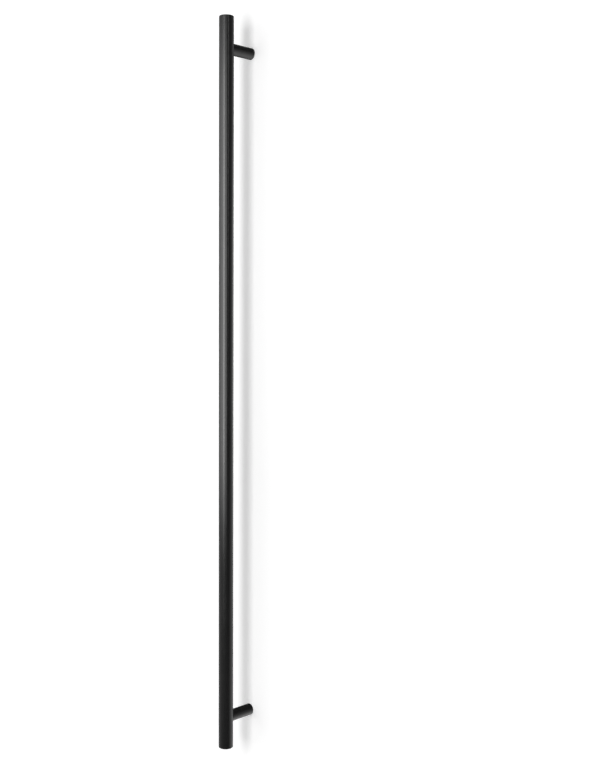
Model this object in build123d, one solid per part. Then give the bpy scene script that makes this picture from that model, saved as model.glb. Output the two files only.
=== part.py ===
from build123d import *

import os

# Ladder pull handle: a long round grip held off the door by two posts.
# Sizes in millimetres. X runs across the door, Y into it and Z up along the grip.
# The origin lies on the door's face, midway between the two fixings.

# Grip tube
grip_length = 1600.0
grip_diameter = 32.0
grip_wall = 2.0
grip_edge_radius = 1.8

# End caps, discs set flush in the tube's ends
cap_thickness = 6.0
cap_clearance = 0.05

# Posts, turned bar coped to the grip
post_overhang = 67.5
hand_gap = 55.0
post_diameter = 25.0
post_wall = 3.5
post_web = 12.0

# Post screws, socket head M8
screw_diameter = 8.0
screw_length = 25.0
screw_head_diameter = 13.0
screw_head_height = 8.0
screw_socket_width = 6.0
screw_socket_depth = 4.0
screw_hole_clearance = 0.3

# Lock washers, split spring rings
washer_thickness = 2.0
washer_width = 3.3
washer_clearance = 0.1
washer_split = 1.6

# Saddle nuts inside the tube
nut_length = 26.0
nut_flat_height = 5.0
nut_clearance = 0.1
nut_chamfer = 0.8
thread_clearance = 0.05

# Foot bushes, tapped for the door bolt
bush_head_gap = 2.0
bush_thread_diameter = 8.0
bush_clearance = 0.05
bush_mouth_chamfer = 0.5
groove_height = 12.0
groove_width = 6.0

# Grub screws that lock each post on its bush
grub_diameter = 5.0
grub_length = 5.0
grub_recess = 0.5
grub_tip_gap = 0.05
grub_tip_diameter = 2.5
grub_socket_width = 2.5
grub_socket_depth = 2.2

# Foot pads between the posts and the door
pad_thickness = 1.0
pad_hole_clearance = 0.5

# Sizes that follow from the ones above
grip_radius = grip_diameter / 2
tube_bore_radius = grip_radius - grip_wall
cap_radius = tube_bore_radius - cap_clearance
axis_to_door = hand_gap + grip_radius
fixing_height = grip_length / 2 - post_overhang
post_radius = post_diameter / 2
post_bore_radius = post_radius - post_wall
post_reach = axis_to_door - pad_thickness
post_seat = grip_radius + post_web
screw_radius = screw_diameter / 2
screw_hole_radius = screw_radius + screw_hole_clearance
washer_bore_radius = screw_radius + washer_clearance
washer_radius = washer_bore_radius + washer_width
nut_radius = tube_bore_radius - nut_clearance
bush_radius = post_bore_radius - bush_clearance
bush_length = post_reach - post_seat - washer_thickness - screw_head_height - bush_head_gap
bush_thread_radius = bush_thread_diameter / 2
grub_radius = grub_diameter / 2 - thread_clearance
groove_radius = post_radius - grub_recess - grub_length - grub_tip_gap
pad_hole_radius = bush_thread_radius + pad_hole_clearance

FROM_BASE = (Align.CENTER, Align.CENTER, Align.MIN)


def turned(outline):
    """The solid that a closed outline of radius and height sweeps about Z."""
    return revolve(make_face(Plane.XZ * outline), Axis.Z)


def hex_socket(width, depth):
    """A hexagon recess, sunk from Z = 0 downwards."""
    hexagon = RegularPolygon(width / 2, side_count=6, major_radius=False)
    return extrude(hexagon, -depth)


def across_post(radius, length):
    """A cylinder that lies along the grip, in a post's own frame."""
    return Rot(90, 0, 0) * Cylinder(radius, length)


def grip_tube(stations):
    """The tube, with a hole in its door side for each post screw."""
    tube = Cylinder(grip_radius, grip_length)
    tube = fillet(tube.edges().filter_by(GeomType.CIRCLE), grip_edge_radius)
    tube = Pos(0, -axis_to_door, 0) * (tube - Cylinder(tube_bore_radius, grip_length))
    screw_hole = Cylinder(screw_hole_radius, grip_diameter, align=FROM_BASE)
    for station in stations:
        tube -= station * screw_hole
    return tube


def end_cap():
    """A disc with its outer face at Z = 0."""
    return Pos(0, 0, -cap_thickness) * Cylinder(cap_radius, cap_thickness, align=FROM_BASE)


def post():
    """A post standing on the grip's axis, coped round the grip and bored from its foot."""
    outline = Polyline(
        (screw_hole_radius, 0),
        (post_radius, 0),
        (post_radius, post_reach),
        (post_bore_radius, post_reach),
        (post_bore_radius, post_seat),
        (screw_hole_radius, post_seat),
        close=True,
    )
    body = turned(outline) - across_post(grip_radius, 2 * post_diameter)
    grub_hole = Cylinder(grub_diameter / 2, post_diameter, align=FROM_BASE)
    return body - grub_place(0) * grub_hole


def grub_place(radius):
    """Where a grub screw's tip lies, this far from the post's axis."""
    return Pos(-radius, 0, post_reach - groove_height) * Rot(0, -90, 0)


def post_screw():
    """A socket head screw with the underside of its head at Z = 0."""
    head = Cylinder(screw_head_diameter / 2, screw_head_height, align=FROM_BASE)
    head -= Pos(0, 0, screw_head_height) * hex_socket(screw_socket_width, screw_socket_depth)
    shank = Pos(0, 0, -screw_length) * Cylinder(screw_radius, screw_length, align=FROM_BASE)
    return head + shank


def lock_washer():
    """A split spring ring standing on Z = 0."""
    ring = Cylinder(washer_radius, washer_thickness, align=FROM_BASE)
    ring -= Cylinder(washer_bore_radius, washer_thickness, align=FROM_BASE)
    split = Box(
        washer_radius,
        washer_split,
        washer_thickness,
        align=(Align.MIN, Align.CENTER, Align.MIN),
    )
    return ring - split


def saddle_nut():
    """A slug of bar that fits the tube's bore, flat on one side and tapped for the post screw."""
    slug = across_post(nut_radius, nut_length)
    door_side = Pos(0, 0, nut_flat_height) * Box(
        grip_diameter, nut_length, grip_diameter, align=FROM_BASE
    )
    nut = slug & door_side
    nut = chamfer(nut.edges().filter_by(Axis.Y), nut_chamfer)
    return nut - Cylinder(screw_radius + thread_clearance, grip_diameter, align=FROM_BASE)


def foot_bush():
    """A bush with its door face at Z = 0, a through thread and a groove round its side."""
    groove_top = -groove_height + groove_width / 2
    groove_bottom = groove_top - groove_width
    outline = Polyline(
        (bush_thread_radius + bush_mouth_chamfer, 0),
        (bush_radius, 0),
        (bush_radius, groove_top),
        (groove_radius, groove_top),
        (groove_radius, groove_bottom),
        (bush_radius, groove_bottom),
        (bush_radius, -bush_length),
        (bush_thread_radius, -bush_length),
        (bush_thread_radius, -bush_mouth_chamfer),
        close=True,
    )
    return turned(outline)


def grub_screw():
    """A set screw with its flat tip at Z = 0 and its socket at the far end."""
    tip_radius = grub_tip_diameter / 2
    outline = Polyline(
        (0, 0),
        (tip_radius, 0),
        (grub_radius, grub_radius - tip_radius),
        (grub_radius, grub_length),
        (0, grub_length),
        close=True,
    )
    socket = Pos(0, 0, grub_length) * hex_socket(grub_socket_width, grub_socket_depth)
    return turned(outline) - socket


def foot_pad():
    """A washer with its post side at Z = 0."""
    pad = Cylinder(post_radius, pad_thickness, align=FROM_BASE)
    return pad - Cylinder(pad_hole_radius, pad_thickness, align=FROM_BASE)


def station_at(height):
    """A post's own frame: its origin on the grip's axis and its Z towards the door."""
    return Location(Plane((0, -axis_to_door, height), x_dir=(1, 0, 0), z_dir=(0, 1, 0)))


stations = {
    "upper": station_at(fixing_height),
    "lower": station_at(-fixing_height),
}

# Each piece that a post carries, where it sits in the post's own frame
post_pieces = {
    "post": post(),
    "saddle_nut": saddle_nut(),
    "lock_washer": Pos(0, 0, post_seat) * lock_washer(),
    "post_screw": Pos(0, 0, post_seat + washer_thickness) * post_screw(),
    "foot_bush": Pos(0, 0, post_reach) * foot_bush(),
    "grub_screw": grub_place(groove_radius + grub_tip_gap) * grub_screw(),
    "foot_pad": Pos(0, 0, post_reach) * foot_pad(),
}

pieces = {
    "grip_tube": grip_tube(stations.values()),
    "upper_end_cap": Pos(0, -axis_to_door, grip_length / 2) * end_cap(),
    "lower_end_cap": Pos(0, -axis_to_door, -grip_length / 2) * Rot(180, 0, 0) * end_cap(),
}
for level, station in stations.items():
    for name, piece in post_pieces.items():
        pieces[f"{level}_{name}"] = station * piece

os.makedirs("parts", exist_ok=True)
for name, piece in pieces.items():
    export_step(piece, f"parts/{name}.step")
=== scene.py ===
import math

import bmesh
import bpy
from mathutils import Matrix, Vector


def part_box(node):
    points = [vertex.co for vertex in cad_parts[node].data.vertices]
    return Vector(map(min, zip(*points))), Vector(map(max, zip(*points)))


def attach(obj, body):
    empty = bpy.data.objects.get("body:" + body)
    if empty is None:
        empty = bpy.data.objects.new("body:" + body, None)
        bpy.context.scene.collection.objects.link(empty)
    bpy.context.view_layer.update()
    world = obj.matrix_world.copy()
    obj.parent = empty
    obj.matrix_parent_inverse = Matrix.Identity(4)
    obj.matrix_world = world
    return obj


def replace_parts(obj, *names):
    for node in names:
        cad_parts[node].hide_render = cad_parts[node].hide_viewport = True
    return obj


# Sizes are in metres, in the part's frame: X across the door, Y into it, Z up along the grip.
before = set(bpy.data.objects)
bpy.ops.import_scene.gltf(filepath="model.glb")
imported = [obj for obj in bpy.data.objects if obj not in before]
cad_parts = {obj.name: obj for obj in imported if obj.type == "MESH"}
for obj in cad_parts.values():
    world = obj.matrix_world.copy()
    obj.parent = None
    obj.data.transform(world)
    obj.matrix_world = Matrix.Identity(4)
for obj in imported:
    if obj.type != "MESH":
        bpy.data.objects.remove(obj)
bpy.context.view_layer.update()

MM = 0.001
LEVELS = ("upper", "lower")
BODY = "root"

# Grip, with its wall's section and the holes in its door side for the post screws
GRIP_RADIUS = 16 * MM
GRIP_WALL = 2 * MM
GRIP_EDGE_RADIUS = 1.8 * MM
GRIP_HALF_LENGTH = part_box("grip_tube")[1].z
GRIP_AXIS_Y = (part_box("grip_tube")[0].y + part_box("grip_tube")[1].y) / 2
GRIP_STEPS = 128
EDGE_STEPS = 8
SCREW_HOLE_RADIUS = 4.3 * MM
SCREW_HOLE_STEPS = 48

# Rings cut the grip's long faces this far either side of each hole, and inside each end's curve
SCREW_HOLE_RING = 11 * MM
RING_MARGIN = 0.4 * MM

# Door thread in each foot bush, whose hole stays plain for a short way at both ends. The ridge
# bites a little into the bush, and each corner of its section has a radius and a share of the
# pitch.
THREAD_RADIUS = 4 * MM
THREAD_CREST_RADIUS = 3.32 * MM
THREAD_PITCH = 1.25 * MM
THREAD_ROOT_BITE = 0.02 * MM
THREAD_STEPS = 32
THREAD_PLAIN_END = 0.6 * MM
THREAD_SECTION = (
    (THREAD_RADIUS + THREAD_ROOT_BITE, 0.06),
    (THREAD_CREST_RADIUS, 0.375),
    (THREAD_CREST_RADIUS, 0.625),
    (THREAD_RADIUS + THREAD_ROOT_BITE, 0.94),
)

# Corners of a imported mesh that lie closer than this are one, and faces that meet at a smaller
# angle than this are parts of one round surface
MERGE_DISTANCE = 0.002 * MM
SHARP_ANGLE = math.radians(28)

# Finishes. Each has the scales of its peel, its grain and its slow patches, where more is finer,
# and the grain's share of the relief. From patch to patch, its colour and its roughness go from
# their first value to their second. The detail is how many finer layers a noise carries.
NOISE_DETAIL = {"Peel": 1.0, "Grain": 3.0, "Patch": 4.0}
PATCH_SPAN = (0.3, 0.7)

COAT_NOISE = {"Peel": 480.0, "Grain": 3200.0, "Patch": 9.0, "Grain_share": 0.2}
COAT_RELIEF = {"Strength": 1.0, "Distance": 0.03 * MM}
COAT_COLOURS = ((0.004, 0.004, 0.0041, 1), (0.007, 0.007, 0.0071, 1))
COAT_ROUGHNESS = (0.21, 0.26)
COAT_SPECULAR = 0.4

# Where the coat's grain begins to hide its sheen, and where it has hidden it, from 0 for a
# surface that faces the eye to 1 for one seen edge-on
COAT_GLANCE = (0.62, 0.88)

STEEL_NOISE = {"Peel": 2500.0, "Grain": 9000.0, "Patch": 60.0, "Grain_share": 0.6}
STEEL_RELIEF = {"Strength": 0.6, "Distance": 0.01 * MM}
STEEL_COLOURS = ((0.42, 0.42, 0.43, 1), (0.58, 0.57, 0.56, 1))
STEEL_ROUGHNESS = (0.24, 0.40)
STEEL_METALLIC = 1.0

OXIDE_NOISE = {"Peel": 1800.0, "Grain": 7000.0, "Patch": 400.0, "Grain_share": 0.5}
OXIDE_RELIEF = {"Strength": 0.6, "Distance": 0.01 * MM}
OXIDE_RUBBED_SPAN = (0.58, 0.72)
OXIDE_COLOURS = ((0.022, 0.022, 0.025, 1), (0.16, 0.155, 0.15, 1))
OXIDE_ROUGHNESS = (0.46, 0.32)
OXIDE_METALLIC = 0.8

NYLON_NOISE = {"Peel": 2600.0, "Grain": 8000.0, "Patch": 120.0, "Grain_share": 0.8}
NYLON_RELIEF = {"Strength": 0.7, "Distance": 0.02 * MM}
NYLON_COLOURS = ((0.017, 0.017, 0.018, 1), (0.028, 0.028, 0.029, 1))
NYLON_ROUGHNESS = (0.52, 0.64)

# Camera, on the side of the hand and to the right. Its lens and sensor are in millimetres.
CAMERA_AZIMUTH = math.radians(48.92)
CAMERA_DISTANCE = 2.309
CAMERA_HEIGHT = 0.152
CAMERA_AIM = Vector((0.2392, GRIP_AXIS_Y, 0.0296))
CAMERA_ROLL = math.radians(0.292)
CAMERA_LENS = 50
CAMERA_SENSOR = 36

# Floor that the feet stand on. Over its pale colour lies painted light that only the camera sees:
# a faint white by the handle that grows to a full one between two distances from it, and a little
# more painted light between two heights, from the first down to the second, where the lamps light
# it less.
WHITE = (1, 1, 1, 1)
FLOOR_GAP = 0.5 * MM
FLOOR_REACH = 4.0
FLOOR_COLOUR = (0.84, 0.84, 0.84, 1)
FLOOR_NEAR_PAINTED_LIGHT = 0.26
FLOOR_FAR_PAINTED_LIGHT = 1.0
FLOOR_FADE_START = 0.25
FLOOR_FADE_END = 1.2
FLOOR_LOW_PAINTED_LIGHT = 0.07
FLOOR_LOW_START = -GRIP_HALF_LENGTH / 4
FLOOR_LOW_END = -GRIP_HALF_LENGTH

# Radius of the clear spot in the floor under each foot, where light reaches it from behind
FIXING_WINDOW = 11.5 * MM

# Lamps, all this far from the grip's axis, with their middles at this height and this tall
LAMP_DISTANCE = 3.2
LAMP_HEIGHT = 0.39
LAMP_LENGTH = 2.35

# Each lamp: its azimuth round the grip in degrees, its width, its brightness, and whether the
# floor is lit by it or only the sheen on the coating
LAMPS = {
    "softbox": (12.5, 1.05, 6.5, True),
    "diffuser": (-15, 5.0, 1.2, True),
    "middle_sheen": (-9, 2.2, 2.6, False),
    "left_sheen": (-46, 3.2, 1.0, False),
    "right_sheen": (33, 2.9, 3.2, False),
}

# Dim room that the coating mirrors, by direction: X, Y and Z go from -1 to 1, slope is how far a
# direction points up or down, and off_strip how far its Y is from the strip's. Each light of the
# room is a product of ramps. A ramp has what it follows, where it starts and where it ends, and
# its values at those two, or else 0 and 1.
ROOM_LEVEL = 0.10
ROOM_STRIP_Y = -0.16
ROOM_LIGHTS = {
    "left": (
        ("X", 0.2, -0.9, 0.0, 0.5),
        ("Y", 0.3, -0.1),
    ),
    "behind": (
        ("Z", -0.1, -0.7, 0.5, 1.9),
        ("Y", 0.1, 0.7, 0.1, 1.0),
        ("Z", 0.4, 0.0, 0.1, 1.0),
        ("X", -0.7, 0.1, 0.1, 1.0),
    ),
    "strip": (
        ("off_strip", 0.0, 0.08, 4.5, 0.0),
        ("X", 0.5, 0.9),
        ("Z", -0.05, 0.15),
    ),
    "rim": (
        ("Y", 0.75, 0.98, 0.0, 1.2),
        ("slope", 0.3, 0.1),
    ),
}


def feed(tree, socket, value):
    """Sets an input to a value, or joins it to another node's output."""
    if isinstance(value, bpy.types.NodeSocket):
        tree.links.new(value, socket)
    else:
        socket.default_value = value


def link(tree, made, **inputs):
    """Feeds a node's inputs by their names, where an underscore stands for a space."""
    for name, value in inputs.items():
        feed(tree, made.inputs[name.replace("_", " ")], value)
    return made


def add(tree, kind, *values, settings=None, **inputs):
    """Adds a node with its settings, and feeds its inputs by their order or by their names."""
    made = tree.nodes.new(kind)
    for name, value in (settings or {}).items():
        setattr(made, name, value)
    for socket, value in zip(made.inputs, values):
        feed(tree, socket, value)
    return link(tree, made, **inputs)


def math_node(tree, operation, *values):
    """Adds a maths node and returns its output."""
    return add(tree, "ShaderNodeMath", *values, settings={"operation": operation}).outputs[0]


def ramp(tree, value, low, high, low_level=0.0, high_level=1.0):
    """Maps a value from one span to another and returns the output."""
    return add(tree, "ShaderNodeMapRange", value, low, high, low_level, high_level).outputs[0]


def blend(tree, share, first, second):
    """Mixes two colours, with this share of the second one, and returns the output."""
    made = add(tree, "ShaderNodeMix", settings={"data_type": "RGBA"})
    return link(tree, made, Factor=share, A=first, B=second).outputs["Result"]


def finish_group():
    """A shared group: the fine relief and the slow patches of a finished surface."""
    group = bpy.data.node_groups.new("surface_finish", "ShaderNodeTree")
    face = group.interface
    for name in (*NOISE_DETAIL, "Grain share"):
        face.new_socket(name, in_out="INPUT", socket_type="NodeSocketFloat")
    for name in ("Height", "Patches"):
        face.new_socket(name, in_out="OUTPUT", socket_type="NodeSocketFloat")
    given = add(group, "NodeGroupInput").outputs
    place = add(group, "ShaderNodeTexCoord").outputs["Object"]
    noise = {}
    for name, detail in NOISE_DETAIL.items():
        made = add(group, "ShaderNodeTexNoise", Vector=place, Scale=given[name], Detail=detail)
        noise[name] = made.outputs["Fac"]
    grain = math_node(group, "MULTIPLY", noise["Grain"], given["Grain share"])
    height = math_node(group, "ADD", noise["Peel"], grain)
    add(group, "NodeGroupOutput", Height=height, Patches=noise["Patch"])
    return group


def new_material(name):
    """Starts a material, and returns it with its nodes and its shader."""
    material = bpy.data.materials.new(name)
    material.use_nodes = True
    tree = material.node_tree
    return material, tree, tree.nodes["Principled BSDF"]


def place_finish(tree, group, noise, relief):
    """Places the shared group, and returns its patches and the normal that its relief gives."""
    finish = add(tree, "ShaderNodeGroup", settings={"node_tree": group}, **noise)
    bump = add(tree, "ShaderNodeBump", Height=finish.outputs["Height"], **relief)
    return finish.outputs["Patches"], bump.outputs["Normal"]


def black_coat(group):
    """Satin black powder coat: a slight orange peel, and a sheen that dulls at a glancing view."""
    material, tree, shader = new_material("satin_black_coat")
    patches, normal = place_finish(tree, group, COAT_NOISE, COAT_RELIEF)
    colour = blend(tree, patches, *COAT_COLOURS)
    satin = ramp(tree, patches, *PATCH_SPAN, *COAT_ROUGHNESS)
    facing = add(tree, "ShaderNodeLayerWeight").outputs["Facing"]
    roughness = math_node(tree, "MAXIMUM", satin, ramp(tree, facing, *COAT_GLANCE))
    link(tree, shader, Base_Color=colour, Roughness=roughness, Normal=normal)
    link(tree, shader, Specular_IOR_Level=COAT_SPECULAR)
    return material


def turned_steel(group):
    """Bare machined steel, slightly uneven in shade."""
    material, tree, shader = new_material("turned_steel")
    patches, normal = place_finish(tree, group, STEEL_NOISE, STEEL_RELIEF)
    colour = blend(tree, patches, *STEEL_COLOURS)
    roughness = ramp(tree, patches, *PATCH_SPAN, *STEEL_ROUGHNESS)
    link(tree, shader, Base_Color=colour, Roughness=roughness, Normal=normal)
    link(tree, shader, Metallic=STEEL_METALLIC)
    return material


def blackened_steel(group):
    """Black oxide on the grub screws, rubbed to bare metal in small spots."""
    material, tree, shader = new_material("black_oxide")
    patches, normal = place_finish(tree, group, OXIDE_NOISE, OXIDE_RELIEF)
    rubbed = ramp(tree, patches, *OXIDE_RUBBED_SPAN)
    colour = blend(tree, rubbed, *OXIDE_COLOURS)
    roughness = ramp(tree, patches, *OXIDE_RUBBED_SPAN, *OXIDE_ROUGHNESS)
    link(tree, shader, Base_Color=colour, Roughness=roughness, Normal=normal)
    link(tree, shader, Metallic=OXIDE_METALLIC)
    return material


def pad_nylon(group):
    """Moulded black nylon, matt, with a spark-eroded grain."""
    material, tree, shader = new_material("pad_nylon")
    patches, normal = place_finish(tree, group, NYLON_NOISE, NYLON_RELIEF)
    colour = blend(tree, patches, *NYLON_COLOURS)
    roughness = ramp(tree, patches, *PATCH_SPAN, *NYLON_ROUGHNESS)
    link(tree, shader, Base_Color=colour, Roughness=roughness, Normal=normal)
    return material


def object_from(shape, name):
    """Turns a finished bmesh into an object of the scene."""
    mesh = bpy.data.meshes.new(name)
    shape.to_mesh(mesh)
    shape.free()
    made = bpy.data.objects.new(name, mesh)
    bpy.context.scene.collection.objects.link(made)
    return made


def piece_from(shape, name, material):
    """Turns a finished bmesh into a piece of the handle."""
    piece = object_from(shape, name)
    piece.data.materials.append(material)
    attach(piece, BODY)
    return piece


def shade_round(shape):
    """Smooth faces, with sharp edges where the surface turns a corner."""
    for face in shape.faces:
        face.smooth = True
    for edge in shape.edges:
        edge.smooth = edge.is_manifold and edge.calc_face_angle(math.pi) < SHARP_ANGLE


def draw_chain(shape, points):
    """Joins points by edges, as a profile to spin."""
    corners = [shape.verts.new(point) for point in points]
    for pair in zip(corners, corners[1:]):
        shape.edges.new(pair)


def grip():
    """The grip tube, spun from its wall's section, with rounded outer edges at both ends."""
    shape = bmesh.new()
    inner = GRIP_RADIUS - GRIP_WALL
    points = []
    for end in (1, -1):
        half = [Vector((inner, 0, end * GRIP_HALF_LENGTH))]
        for step in range(EDGE_STEPS + 1):
            turn = math.pi / 2 * step / EDGE_STEPS
            radius = GRIP_RADIUS - GRIP_EDGE_RADIUS * (1 - math.sin(turn))
            height = GRIP_HALF_LENGTH - GRIP_EDGE_RADIUS * (1 - math.cos(turn))
            half.append(Vector((radius, 0, end * height)))
        # The section runs down the grip's outside, so its lower half is drawn backwards
        points += half[::end]
    draw_chain(shape, points + [points[0]])
    bmesh.ops.remove_doubles(shape, verts=shape.verts, dist=MERGE_DISTANCE)
    bmesh.ops.spin(
        shape,
        geom=shape.verts[:] + shape.edges[:],
        cent=(0, 0, 0),
        axis=(0, 0, 1),
        angle=2 * math.pi,
        steps=GRIP_STEPS,
        use_merge=True,
    )
    bmesh.ops.remove_doubles(shape, verts=shape.verts, dist=MERGE_DISTANCE)
    bmesh.ops.recalc_face_normals(shape, faces=shape.faces)
    bmesh.ops.translate(shape, verts=shape.verts, vec=(0, GRIP_AXIS_Y, 0))
    ring_grip(shape)
    shape = cut(shape, screw_holes())
    shade_round(shape)
    return shape


def post_heights():
    """The heights of the two posts' axes."""
    boxes = [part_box(f"{level}_post") for level in LEVELS]
    return [(low.z + high.z) / 2 for low, high in boxes]


def ring_grip(shape):
    """Cuts rings round the grip: by its rounded ends, and either side of each screw hole."""
    straight = GRIP_HALF_LENGTH - GRIP_EDGE_RADIUS - RING_MARGIN
    heights = [straight, -straight]
    for height in post_heights():
        heights += [height - SCREW_HOLE_RING, height + SCREW_HOLE_RING]
    for height in heights:
        bmesh.ops.bisect_plane(
            shape,
            geom=shape.verts[:] + shape.edges[:] + shape.faces[:],
            plane_co=(0, 0, height),
            plane_no=(0, 0, 1),
        )


def screw_holes():
    """Rods through the grip's door side, where the post screws pass."""
    shape = bmesh.new()
    for height in post_heights():
        place = Matrix.Translation((0, GRIP_AXIS_Y + GRIP_RADIUS, height))
        bmesh.ops.create_cone(
            shape,
            cap_ends=True,
            segments=SCREW_HOLE_STEPS,
            radius1=SCREW_HOLE_RADIUS,
            radius2=SCREW_HOLE_RADIUS,
            depth=GRIP_RADIUS,
            matrix=place @ Matrix.Rotation(math.pi / 2, 4, "X"),
        )
    return shape


def cut(shape, tool):
    """Takes one closed shape out of another and returns the result."""
    kept = object_from(shape, "kept")
    taken = object_from(tool, "taken")
    modifier = kept.modifiers.new("cut", "BOOLEAN")
    modifier.object = taken
    modifier.solver = "EXACT"
    bpy.context.view_layer.update()
    result = bmesh.new()
    result.from_object(kept, bpy.context.evaluated_depsgraph_get())
    for made in (kept, taken):
        bpy.data.meshes.remove(made.data)
    return result


def welded_copy(node):
    """A node's own mesh with its loose triangles welded, so that its round faces shade smoothly."""
    shape = bmesh.new()
    shape.from_mesh(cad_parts[node].data)
    bmesh.ops.remove_doubles(shape, verts=shape.verts, dist=MERGE_DISTANCE)
    shade_round(shape)
    return shape


def door_thread(level):
    """The ridge of the thread inside a foot bush, one helix along its hole."""
    low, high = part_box(f"{level}_foot_bush")
    axis_z = (low.z + high.z) / 2
    length = high.y - low.y - 2 * THREAD_PLAIN_END
    # The section itself takes up one turn of the length
    turns = int(length / THREAD_PITCH) - 1
    shape = bmesh.new()
    corners = []
    for radius, share in THREAD_SECTION:
        depth = low.y + THREAD_PLAIN_END + share * THREAD_PITCH
        corners.append(shape.verts.new((radius, depth, axis_z)))
    bmesh.ops.spin(
        shape,
        geom=[shape.faces.new(corners)],
        cent=(0, 0, axis_z),
        axis=(0, 1, 0),
        dvec=(0, THREAD_PITCH / THREAD_STEPS, 0),
        angle=2 * math.pi * turns,
        steps=turns * THREAD_STEPS,
    )
    bmesh.ops.recalc_face_normals(shape, faces=shape.faces)
    shade_round(shape)
    return shape


def dress_object():
    """Gives every piece its finish and replaces the coarse meshes by smooth ones."""
    group = finish_group()
    coat = black_coat(group)
    steel = turned_steel(group)
    oxide = blackened_steel(group)
    nylon = pad_nylon(group)
    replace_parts(piece_from(grip(), "grip", coat), "grip_tube")
    for level in LEVELS:
        shown = (
            (f"{level}_end_cap", coat, "coated_steel"),
            (f"{level}_post", coat, "coated_steel"),
            (f"{level}_foot_bush", steel, "plain_steel"),
            (f"{level}_grub_screw", oxide, "blackened_steel"),
            (f"{level}_foot_pad", nylon, "pad_plastic"),
        )
        for node, material, slot in shown:
            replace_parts(piece_from(welded_copy(node), f"{node}_finished", material), node)
        piece_from(door_thread(level), f"{level}_door_thread", steel)
        for name in ("saddle_nut", "lock_washer", "post_screw"):
            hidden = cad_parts[f"{level}_{name}"]
            hidden.data.materials.clear()
            hidden.data.materials.append(steel)


def painted_floor_light(tree, place):
    """Painted light on the floor: faint by the handle, more below it where the lamps light it less,
    and full far away.
    """
    sides = add(tree, "ShaderNodeSeparateXYZ", Vector=place).outputs
    beside = math_node(tree, "ABSOLUTE", sides["X"])
    from_middle = math_node(tree, "ABSOLUTE", sides["Z"])
    past_end = math_node(tree, "SUBTRACT", from_middle, GRIP_HALF_LENGTH)
    away = math_node(tree, "MAXIMUM", beside, past_end)
    level = ramp(tree, away, FLOOR_FADE_START, FLOOR_FADE_END, FLOOR_NEAR_PAINTED_LIGHT, FLOOR_FAR_PAINTED_LIGHT)
    # Painted light low down, where the lamps light the floor less
    painted_low_light = ramp(tree, sides["Z"], FLOOR_LOW_START, FLOOR_LOW_END, 0.0, FLOOR_LOW_PAINTED_LIGHT)
    return math_node(tree, "ADD", level, painted_low_light)


def pale_floor_material(windows):
    """White floor that takes shadows and painted light, clear from behind and where a fixing bears
    on it.
    """
    material, tree, shader = new_material("floor_white")
    tree.nodes.remove(shader)
    place = add(tree, "ShaderNodeTexCoord").outputs["Object"]
    camera_ray = add(tree, "ShaderNodeLightPath").outputs["Is Camera Ray"]
    # Painted light that only the camera sees, added on top of the white board's real shading
    seen = math_node(tree, "MULTIPLY", camera_ray, painted_floor_light(tree, place))
    board = add(tree, "ShaderNodeBsdfDiffuse", Color=FLOOR_COLOUR)
    glow = add(tree, "ShaderNodeEmission", Color=WHITE, Strength=seen)
    lit = add(tree, "ShaderNodeAddShader", board.outputs[0], glow.outputs[0])
    clear = add(tree, "ShaderNodeBsdfTransparent")
    open_here = add(tree, "ShaderNodeNewGeometry").outputs["Backfacing"]
    for window in windows:
        apart = add(tree, "ShaderNodeVectorMath", place, window, settings={"operation": "DISTANCE"})
        inside = math_node(tree, "LESS_THAN", apart.outputs["Value"], FIXING_WINDOW)
        open_here = math_node(tree, "MAXIMUM", open_here, inside)
    mix = add(tree, "ShaderNodeMixShader", open_here, lit.outputs[0], clear.outputs[0])
    link(tree, tree.nodes["Material Output"], Surface=mix.outputs[0])
    return material


def build_floor():
    """The pale floor that the two feet stand on, which faces the grip."""
    windows = []
    for level in LEVELS:
        low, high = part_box(f"{level}_foot_pad")
        windows.append(Vector((0, FLOOR_GAP, (low.z + high.z) / 2)))
    corners = (
        (-FLOOR_REACH, FLOOR_GAP, -FLOOR_REACH),
        (FLOOR_REACH, FLOOR_GAP, -FLOOR_REACH),
        (FLOOR_REACH, FLOOR_GAP, FLOOR_REACH),
        (-FLOOR_REACH, FLOOR_GAP, FLOOR_REACH),
    )
    shape = bmesh.new()
    shape.faces.new([shape.verts.new(corner) for corner in corners])
    floor = object_from(shape, "floor")
    floor.data.materials.append(pale_floor_material(windows))
    floor.visible_glossy = False


def round_grip(azimuth, distance, height):
    """A place round the grip: azimuth 0 is straight before the door, and more is to the right."""
    across = distance * math.sin(azimuth)
    return Vector((across, GRIP_AXIS_Y - distance * math.cos(azimuth), height))


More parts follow.
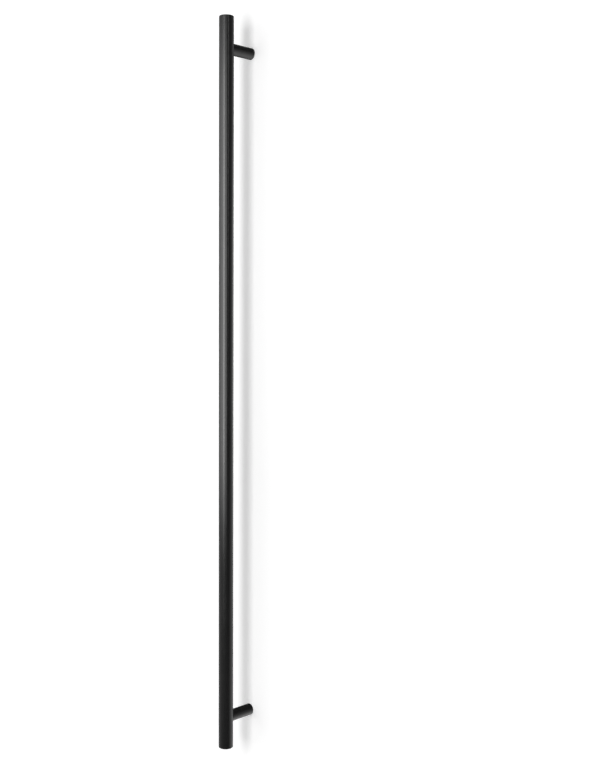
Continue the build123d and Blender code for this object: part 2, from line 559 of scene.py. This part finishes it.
def build_lamp(name, azimuth, width, radiance, lights_floor):
    """A tall flat lamp that faces the grip's axis, this bright whatever its size."""
    turn = math.radians(azimuth)
    lamp = bpy.data.lights.new(name, "AREA")
    lamp.shape = "RECTANGLE"
    lamp.size = width
    lamp.size_y = LAMP_LENGTH
    lamp.energy = radiance * math.pi * width * LAMP_LENGTH
    panel = bpy.data.objects.new(name, lamp)
    panel.location = round_grip(turn, LAMP_DISTANCE, LAMP_HEIGHT)
    panel.rotation_euler = (math.pi / 2, 0, turn)
    panel.visible_camera = False
    panel.visible_diffuse = lights_floor
    bpy.context.scene.collection.objects.link(panel)


def build_room():
    """A dim room for the coating to mirror, which the camera itself sees as white."""
    world = bpy.data.worlds.new("room")
    bpy.context.scene.world = world
    world.use_nodes = True
    tree = world.node_tree
    towards = add(tree, "ShaderNodeTexCoord").outputs["Generated"]
    axes = add(tree, "ShaderNodeSeparateXYZ", Vector=towards).outputs
    past_strip = math_node(tree, "SUBTRACT", axes["Y"], ROOM_STRIP_Y)
    followed = {
        "X": axes["X"],
        "Y": axes["Y"],
        "Z": axes["Z"],
        "slope": math_node(tree, "ABSOLUTE", axes["Z"]),
        "off_strip": math_node(tree, "ABSOLUTE", past_strip),
    }
    level = ROOM_LEVEL
    for ramps in ROOM_LIGHTS.values():
        light = 1.0
        for name, *span in ramps:
            light = math_node(tree, "MULTIPLY", light, ramp(tree, followed[name], *span))
        level = math_node(tree, "ADD", level, light)
    camera_ray = add(tree, "ShaderNodeLightPath").outputs["Is Camera Ray"]
    level = math_node(tree, "MAXIMUM", level, camera_ray)
    link(tree, tree.nodes["Background"], Color=WHITE, Strength=level)


def build_camera():
    """The camera at the photograph's viewing angle."""
    data = bpy.data.cameras.new("camera")
    data.lens = CAMERA_LENS
    data.sensor_width = CAMERA_SENSOR
    camera = bpy.data.objects.new("camera", data)
    place = round_grip(CAMERA_AZIMUTH, CAMERA_DISTANCE, CAMERA_HEIGHT)
    turn = (CAMERA_AIM - place).to_track_quat("-Z", "Y").to_matrix()
    turn = turn @ Matrix.Rotation(CAMERA_ROLL, 3, "Z")
    camera.location = place
    camera.rotation_euler = turn.to_euler()
    bpy.context.scene.collection.objects.link(camera)
    bpy.context.scene.camera = camera


dress_object()
build_floor()
for name, settings in LAMPS.items():
    build_lamp(name, *settings)
build_room()
build_camera()
bpy.context.scene.view_settings.view_transform = "Standard"
